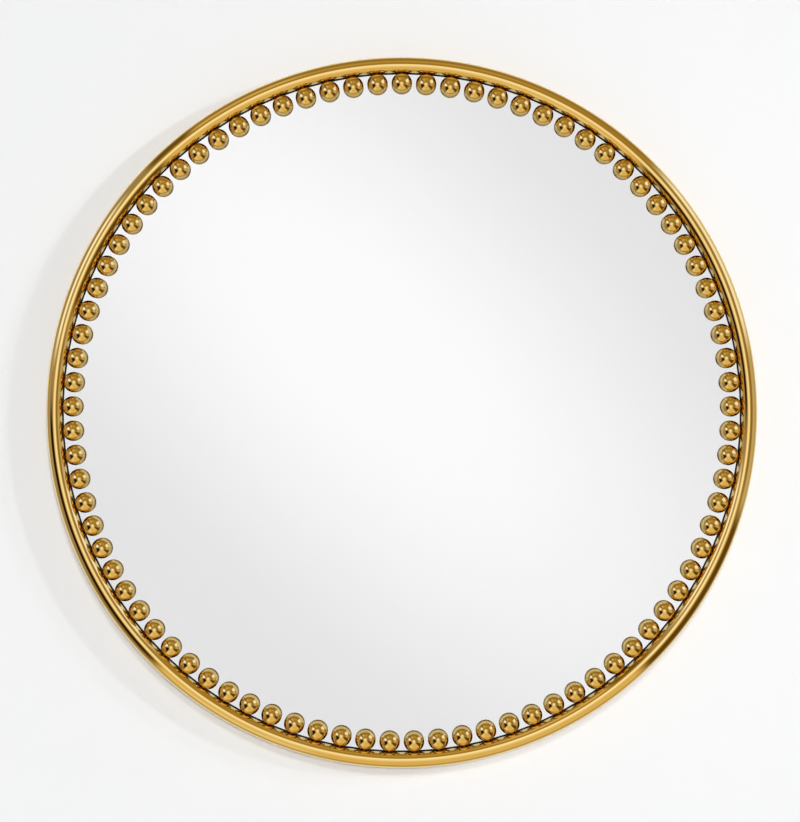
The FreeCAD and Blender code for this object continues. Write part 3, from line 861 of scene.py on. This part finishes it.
def bent_wire(name, x):
    """A closed D: straight bar on the pivot, two legs and a half-round bend, of round section."""
    deselect()
    bpy.ops.mesh.primitive_circle_add(vertices=16, radius=WIRE_RADIUS,
                                      location=(0, pivot_level, hanger_z),
                                      rotation=(0, math.pi / 2, 0))
    wire = named(name)
    edit(wire)
    bpy.ops.mesh.select_all(action="SELECT")

    def run(x_step, z_step):
        bpy.ops.mesh.extrude_region_move(TRANSFORM_OT_translate={"value": (x_step, 0, z_step)})

    def bend(centre_x, drop, turn, steps):
        bpy.ops.mesh.spin(steps=steps, angle=-turn, axis=(0, 1, 0),
                          center=(centre_x, pivot_level, hanger_z - drop))

    run(corner_x, 0)
    bend(corner_x, RING_CORNER, math.pi / 2, 6)
    run(0, RING_CORNER - RING_LEG)
    bend(0, RING_LEG, math.pi, 28)
    run(0, RING_LEG - RING_CORNER)
    bend(-corner_x, RING_CORNER, math.pi / 2, 6)
    run(corner_x, 0)
    bpy.ops.mesh.select_all(action="SELECT")
    bpy.ops.mesh.remove_doubles(threshold=0.01 * MM)
    bpy.ops.mesh.normals_make_consistent(inside=False)
    end_edit()
    bpy.ops.object.shade_smooth()
    wire.data.transform(Matrix.Translation((x, 0, 0)))
    return wire


for side, x in (("left", -HANGER_X), ("right", HANGER_X)):
    node = f"hanger_ring_{side}"
    dress(bent_wire(f"wire_ring_{side}", x), plated_steel, node, [node])

# ------------------------------------------------------------------ wall bumpers
# Four moulded rubber bumpers, glued to the board, keep the lower and upper edge off the wall.
# Each is slightly tapered, with a soft edge and a shallow dish.
BUMPER_COUNT = 4
BUMPER_RADIUS = 8.0 * MM
BUMPER_RING = 325.0 * MM
BUMPER_TAPER = 0.90
BUMPER_RIM = 2.4 * MM
BUMPER_DISH = 0.7 * MM
BUMPER_EASE = 0.7 * MM

bumper_low, bumper_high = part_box("wall_bumpers")
bumper = round_bar("moulded_bumpers", BUMPER_RADIUS, bumper_low.y, bumper_high.y, BUMPER_RING, 48)
edit(bumper, "FACE")
pick(bumper, lambda middle, normal: normal.y > 0.9, "FACE")
bpy.ops.transform.resize(value=(BUMPER_TAPER, 1, BUMPER_TAPER))
bpy.ops.mesh.inset(thickness=BUMPER_RIM)
bpy.ops.mesh.extrude_region_move(TRANSFORM_OT_translate={"value": (0, -BUMPER_DISH, 0)})
bpy.ops.transform.resize(value=(0.8, 1, 0.8))
end_edit()
ease_edges(bumper, BUMPER_EASE, 4, 30)
smooth(50)
bumpers = ring_of(bumper, BUMPER_COUNT, math.radians(45))
grey_rubber = matt("rubber_grey", (0.10, 0.10, 0.10, 1), (0.15, 0.15, 0.15, 1),
                   1800.0, 260.0, 0.6, 0.62, 0.00003)
dress(bumpers, grey_rubber, stands_for=["wall_bumpers"])

# ------------------------------------------------------------------ wall, floor and lamps
# A pale wall carries the mirror and takes its shadow, and a pale floor lies below.  Both are seen
# only from their own side.  Lamps stand by the camera, above it and to the right, and two behind.
WALL_LEVEL = bumper_high.y
WALL_HOLE = band_inner
WALL_REACH = 3.0
FLOOR_DROP = 1.45
FLOOR_REACH = 14.0


def pale_surface(name, near, far, centre, reach, glow=0.0):
    """Matt pale paint with a painted pool of light, lighter about one point, that is open from
    behind.
    The camera sees it lighter by the glow, which lights nothing else."""
    material, tree, shader = new_material(name)
    place = object_place(tree)
    away = vector_maths(tree, "DISTANCE", place, centre)["Value"]
    tone = blend_colours(tree, ramp_between(tree, away, 0.0, reach), near, far)
    tree.links.new(tone, shader.inputs["Base Color"])
    shader.inputs["Roughness"].default_value = 0.95
    shader.inputs["Specular IOR Level"].default_value = 0.0
    shader.inputs["Emission Color"].default_value = (glow, glow, glow, 1)
    to_camera = add_node(tree, "ShaderNodeLightPath").outputs["Is Camera Ray"]
    tree.links.new(to_camera, shader.inputs["Emission Strength"])
    behind = add_node(tree, "ShaderNodeNewGeometry").outputs["Backfacing"]
    clear = tree.nodes.new("ShaderNodeBsdfTransparent")
    mix = add_node(tree, "ShaderNodeMixShader",
                   {0: behind, 1: shader.outputs[0], 2: clear.outputs[0]})
    output = [node for node in tree.nodes if node.type == "OUTPUT_MATERIAL"][0]
    tree.links.new(mix.outputs[0], output.inputs["Surface"])
    return material


deselect()
bpy.ops.mesh.primitive_circle_add(vertices=128, radius=WALL_HOLE, location=(0, WALL_LEVEL, 0),
                                  rotation=(math.pi / 2, 0, 0))
wall = named("studio_wall")
edit(wall)
bpy.ops.mesh.select_all(action="SELECT")
bpy.ops.mesh.extrude_region_move()
spread = WALL_REACH / WALL_HOLE
bpy.ops.transform.resize(value=(spread, 1, spread))
bpy.ops.mesh.select_all(action="SELECT")
bpy.ops.mesh.normals_make_consistent(inside=False)
end_edit()
if wall.data.polygons[0].normal.y > 0:
    wall.data.flip_normals()
# The wall's paint is lighter to the right of the mirror and a little above: a painted pool of
# light.
wall.data.materials.append(pale_surface(
    "paint_wall_painted_light", (0.955, 0.957, 0.962, 1), (0.876, 0.880, 0.882, 1),
    (0.42, WALL_LEVEL, 0.10), 0.95))
deselect()
bpy.ops.mesh.primitive_circle_add(vertices=96, radius=FLOOR_REACH, fill_type="NGON",
                                  location=(0, WALL_LEVEL, -FLOOR_DROP))
floor = named("studio_floor")
# The floor's paint is a little lighter below the mirror: a painted pool of light.
floor.data.materials.append(pale_surface(
    "paint_floor_painted_light", (0.76, 0.76, 0.76, 1), (0.72, 0.72, 0.72, 1),
    (0, 0, -FLOOR_DROP), 3.0, glow=0.50))
for backdrop in (wall, floor):
    backdrop.visible_glossy = False
    backdrop.visible_transmission = False

# name, direction from the mirror, strength, breadth in degrees
LAMPS = (
    ("lamp_front", (0.03, -1.0, 0.075), 1.56, 9),
    ("lamp_above", (0.06, -1.0, 0.32), 0.64, 7),
    ("lamp_right", (0.776, -0.597, 0.206), 0.41, 4),
    ("lamp_high_right", (0.823, -0.479, 0.304), 0.29, 5),
    ("lamp_rear_left", (-0.6, 0.7, 0.08), 1.6, 40),
    ("lamp_rear_right", (0.7, 0.6, 0.03), 1.2, 40),
)
for name, toward, strength, breadth_deg in LAMPS:
    deselect()
    bpy.ops.object.light_add(type="SUN", location=Vector(toward) * 2)
    lamp = bpy.context.object
    lamp.name = name
    lamp.data.energy = strength
    lamp.data.angle = math.radians(breadth_deg)
    lamp.rotation_euler = Vector(toward).to_track_quat("Z", "Y").to_euler()
    lamp.visible_glossy = False
    lamp.visible_transmission = False

# ------------------------------------------------------------------ the room that metal shows
# What stands before the wall in a studio: a white screen straight ahead, a warm floor, a dark
# ceiling, windows high on both sides and a dark figure of equipment on the left.
ROOM_RADIUS = 4.0


def make_room_sector():
    """Paints one soft-edged sector over the colour below: a stretch of wall, floor or window.

    The place is where a polished ball would show the direction, and the sector is given by the
    turn of its middle, its half angle, its middle distance and its half depth on that ball."""
    tree, given, out = new_group("room_sector", [
        ("Below", COLOUR, (0.5, 0.5, 0.5, 1)), ("Paint", COLOUR, (1, 1, 1, 1)),
        ("Place", VECTOR, (0, 0, 0)), ("Turn", NUMBER, 0.0), ("Half angle", NUMBER, 0.5),
        ("Angle edge", NUMBER, 0.05), ("Middle", NUMBER, 0.5), ("Half depth", NUMBER, 0.2),
        ("Depth edge", NUMBER, 0.04),
    ], [("Colour", COLOUR)])
    back = maths(tree, "MULTIPLY", given["Turn"], -1.0)
    turned = add_node(tree, "ShaderNodeVectorRotate", {"Vector": given["Place"], "Angle": back},
                      rotation_type="Z_AXIS").outputs[0]
    parts = parts_of(tree, turned)
    angle = maths(tree, "ABSOLUTE", maths(tree, "ARCTAN2", parts[1], parts[0]))
    depth = vector_maths(tree, "LENGTH", turned)["Value"]
    off = maths(tree, "ABSOLUTE", maths(tree, "SUBTRACT", depth, given["Middle"]))
    masks = []
    for value, half, edge in ((angle, "Half angle", "Angle edge"),
                              (off, "Half depth", "Depth edge")):
        inside = maths(tree, "SUBTRACT", given[half], given[edge])
        outside = maths(tree, "ADD", given[half], given[edge])
        masks.append(ramp_between(tree, value, outside, inside))
    mask = maths(tree, "MULTIPLY", *masks)
    tree.links.new(blend_colours(tree, mask, given["Below"], given["Paint"]), out["Colour"])
    return tree


def make_room_spot():
    """Paints one soft-edged oval over the colour below."""
    tree, given, out = new_group("room_spot", [
        ("Below", COLOUR, (0.5, 0.5, 0.5, 1)), ("Paint", COLOUR, (1, 1, 1, 1)),
        ("Place", VECTOR, (0, 0, 0)), ("Centre", VECTOR, (0, 0, 0)), ("Turn", NUMBER, 0.0),
        ("Size", VECTOR, (0.1, 0.1, 1)), ("Softness", NUMBER, 0.3),
    ], [("Colour", COLOUR)])
    from_centre = vector_maths(tree, "SUBTRACT", given["Place"], given["Centre"])[0]
    back = maths(tree, "MULTIPLY", given["Turn"], -1.0)
    turned = add_node(tree, "ShaderNodeVectorRotate", {"Vector": from_centre, "Angle": back},
                      rotation_type="Z_AXIS").outputs[0]
    scaled = vector_maths(tree, "DIVIDE", turned, given["Size"])[0]
    away = vector_maths(tree, "LENGTH", scaled)["Value"]
    mask = ramp_between(tree, away, maths(tree, "ADD", 1.0, given["Softness"]),
                        maths(tree, "SUBTRACT", 1.0, given["Softness"]))
    tree.links.new(blend_colours(tree, mask, given["Below"], given["Paint"]), out["Colour"])
    return tree


room_sector = make_room_sector()
room_spot = make_room_spot()
deselect()
bpy.ops.mesh.primitive_uv_sphere_add(segments=64, ring_count=32, radius=ROOM_RADIUS)
room = named("studio_room")
room_paint = bpy.data.materials.new("room_light")
room_paint.use_nodes = True
tree = room_paint.node_tree
tree.nodes.clear()
place = object_place(tree)
facing = vector_maths(tree, "NORMALIZE", place)[0]
parts = parts_of(tree, facing)
# A polished ball seen from the front shows the direction (x, y, z) at (x, z) / sqrt(2 - 2 y) of
# its radius.
shrink = maths(tree, "SUBTRACT", 2.0, maths(tree, "MULTIPLY", parts[1], 2.0))
shrink = maths(tree, "SQRT", maths(tree, "MAXIMUM", shrink, 0.0001))
on_ball = vector(tree, maths(tree, "DIVIDE", parts[0], shrink),
                 maths(tree, "DIVIDE", parts[2], shrink))
# paint, turn of the middle and half angle in degrees, edge in degrees, middle, half depth, edge
ROOM_SECTORS = (
    ((0.43, 0.35, 0.20), 0, 200, 5, 0.5, 0.6, 0.05),        # whole room
    ((0.385, 0.27, 0.075), 90, 45, 3, 0.62, 0.50, 0.03),    # ceiling
    ((0.30, 0.205, 0.06), 90, 45, 3, 0.85, 0.25, 0.05),     # ceiling, near end
    ((0.49, 0.38, 0.15), 100, 35, 8, 0.45, 0.07, 0.04),     # light band on the ceiling
    ((0.64, 0.53, 0.29), 118, 11, 3, 0.45, 0.11, 0.03),     # the same, near the left wall
    ((0.15, 0.10, 0.025), 132, 5, 2, 0.60, 0.26, 0.03),     # corner of ceiling and left wall
    ((0.355, 0.29, 0.23), 180, 44, 2, 0.65, 0.34, 0.03),    # left wall
    ((0.43, 0.375, 0.31), 178, 13, 5, 0.65, 0.10, 0.04),    # left wall, lit part
    ((0.195, 0.12, 0.04), -142, 9, 4, 0.45, 0.18, 0.04),    # left wall, low
    ((1.12, 1.20, 1.65), 157, 13, 4, 0.465, 0.110, 0.03),   # left window
    ((0.02, 0.01, 0.003), -158, 23, 4, 0.380, 0.135, 0.03),  # dark equipment
    ((0.57, 0.51, 0.42), 0, 18, 4, 0.62, 0.18, 0.03),       # right wall
    ((0.295, 0.195, 0.055), 2, 16, 5, 0.31, 0.10, 0.03),    # right wall, dark part
    ((0.125, 0.07, 0.012), -32, 15, 3, 0.53, 0.25, 0.03),   # dark doorway on the right
    ((0.33, 0.24, 0.08), 28, 18, 3, 0.32, 0.08, 0.02),      # below the right window
    ((1.05, 1.13, 1.50), 27, 15, 4, 0.625, 0.180, 0.04),    # right window
    ((0.76, 0.61, 0.33), -90.5, 43.5, 2, 0.42, 0.36, 0.04),  # floor
    ((0.83, 0.75, 0.60), -88, 32, 8, 0.14, 0.12, 0.05),     # floor, before the screen
    ((0.55, 0.44, 0.25), -90.5, 43.5, 2, 0.85, 0.20, 0.05),  # floor, near end
    ((0.86, 0.79, 0.64), -118, 12, 5, 0.53, 0.13, 0.04),    # floor, light on the left
)
# paint, centre on the ball, half sizes, turn in degrees, softness
ROOM_SPOTS = (
    ((0.939, 0.912, 0.932), (-0.015, -0.005), (0.148, 0.15), 0, 0.20),    # white screen ahead
    ((1.170, 1.136, 1.160), (-0.008, 0.014), (0.085, 0.037), 135, 0.75),  # its bright middle
)
colour = (0.4, 0.4, 0.4, 1)
for paint, turn_deg, half_deg, edge_deg, middle, half_depth, depth_edge in ROOM_SECTORS:
    colour = use_group(tree, room_sector, {
        "Below": colour, "Paint": (*paint, 1), "Place": on_ball, "Turn": math.radians(turn_deg),
        "Half angle": math.radians(half_deg), "Angle edge": math.radians(edge_deg),
        "Middle": middle, "Half depth": half_depth, "Depth edge": depth_edge})["Colour"]
# The glass shows a plainer room round the screen: pale, and a little darker towards the floor.
pale = blend_colours(tree, ramp_between(tree, parts[2], -0.6, 0.6),
                     (0.70, 0.70, 0.69, 1), (0.88, 0.88, 0.87, 1))
in_glass = add_node(tree, "ShaderNodeLightPath").outputs["Is Transmission Ray"]
colour = blend_colours(tree, in_glass, colour, pale)
for paint, centre, half, turn_deg, softness in ROOM_SPOTS:
    colour = use_group(tree, room_spot, {
        "Below": colour, "Paint": (*paint, 1), "Place": on_ball, "Centre": (*centre, 0),
        "Size": (*half, 1), "Turn": math.radians(turn_deg), "Softness": softness})["Colour"]
# Beside the mirror the room turns to the grey of plain walls.  Towards and behind the wall it is
# pale: the outer side of the rim shows it as a thin light edge, and so does the mirror's back.
colour = blend_colours(tree, ramp_between(tree, parts[1], -0.10, 0.20, 0.0, 0.55), colour,
                       (0.37, 0.345, 0.31, 1))
colour = blend_colours(tree, ramp_between(tree, parts[1], 0.27, 0.58), colour,
                       (0.90, 0.90, 0.88, 1))
light = add_node(tree, "ShaderNodeEmission", {"Color": colour, "Strength": 1.0})
add_node(tree, "ShaderNodeOutputMaterial", {"Surface": light.outputs[0]})
room.data.materials.append(room_paint)
bpy.ops.object.shade_smooth()
room.visible_camera = False
room.visible_diffuse = False
room.visible_shadow = False

world = bpy.data.worlds.new("studio_air")
bpy.context.scene.world = world
world.use_nodes = True
tree = world.node_tree
tree.nodes.clear()
path = add_node(tree, "ShaderNodeLightPath").outputs
through = maths(tree, "MAXIMUM", path["Is Glossy Ray"], path["Is Transmission Ray"])
seen = maths(tree, "MAXIMUM", path["Is Camera Ray"], through)
air = blend_colours(tree, seen, (0.12, 0.12, 0.12, 1), (0.93, 0.93, 0.93, 1))
glow = add_node(tree, "ShaderNodeBackground", {"Color": air})
add_node(tree, "ShaderNodeOutputWorld", {"Surface": glow.outputs[0]})

# ------------------------------------------------------------------ camera
# A long lens, square to the wall, framed so that the outer edge of the rim falls where the
# photograph has it.
PHOTO_WIDTH, PHOTO_HEIGHT = 800, 822
RIM_CENTRE_PX = (401.8, 412.5)
RIM_RADIUS_PX = 355.4
CAMERA_DISTANCE = 7.0
SENSOR = 36.0

metres_per_pixel = rim_radius / RIM_RADIUS_PX
deselect()
bpy.ops.object.camera_add(location=(-(RIM_CENTRE_PX[0] - PHOTO_WIDTH / 2) * metres_per_pixel,
                                    tube_level - CAMERA_DISTANCE,
                                    (RIM_CENTRE_PX[1] - PHOTO_HEIGHT / 2) * metres_per_pixel),
                          rotation=(math.pi / 2, 0, 0))
camera = bpy.context.object
camera.data.sensor_width = SENSOR
camera.data.lens = SENSOR * CAMERA_DISTANCE / (PHOTO_HEIGHT * metres_per_pixel)
camera.data.clip_end = 100
bpy.context.scene.camera = camera
bpy.context.scene.view_settings.view_transform = "Standard"
